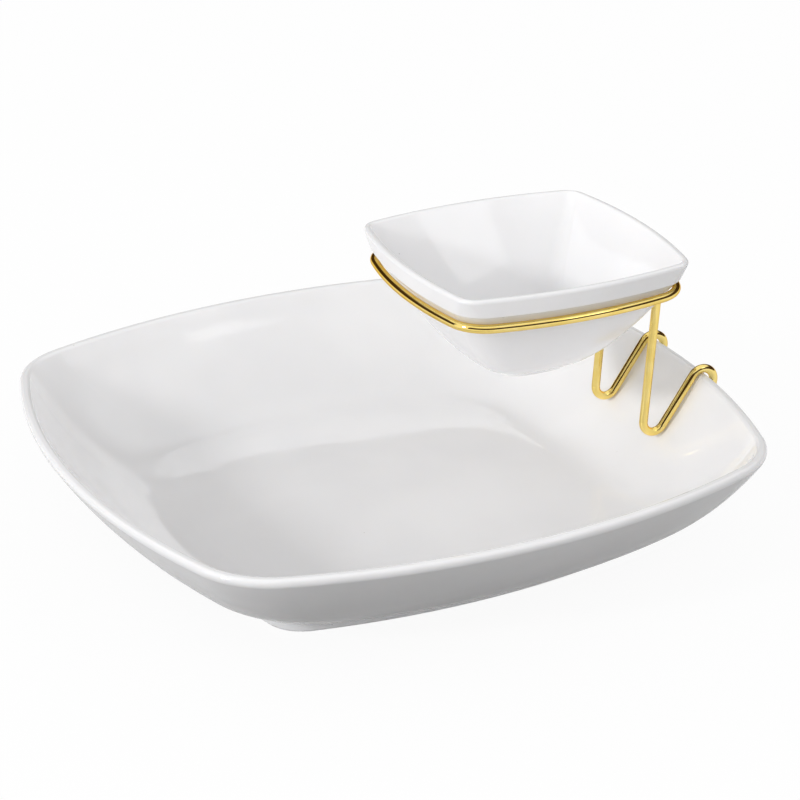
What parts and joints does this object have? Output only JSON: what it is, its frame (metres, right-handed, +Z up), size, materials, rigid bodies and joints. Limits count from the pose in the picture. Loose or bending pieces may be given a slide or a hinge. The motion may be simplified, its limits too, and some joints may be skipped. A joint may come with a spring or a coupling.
{
  "type": "chip and dip server",
  "caption": "Square serving platter with bowed sides and a small dip bowl held above it in a gold wire rack that hooks over the rim.",
  "frame": {"origin": "on the table, under the middle of the whole server's footprint with its rack hung on", "axes": "+X towards the rim that the wire rack hooks over, +Z up; the platter's foot ring stands on z = 0"},
  "size_m": [0.3108, 0.305, 0.1215],
  "materials": {
    "porcelain": "gloss",
    "gold_wire": "polished"
  },
  "bodies": {
    "platter": {"platter": "porcelain"},
    "rack": {"bowl_ring": "gold_wire", "front_hanger": "gold_wire", "rear_hanger": "gold_wire"},
    "bowl": {"dip_bowl": "porcelain"}
  },
  "joints": [
    {"name": "rack_lift", "type": "slide", "parent": "platter", "child": "rack", "axis": [0, 0, 1], "range_m": [0, 0.05]},
    {"name": "bowl_lift", "type": "slide", "parent": "rack", "child": "bowl", "axis": [0, 0, 1], "range_m": [0, 0.065]}
  ]
}
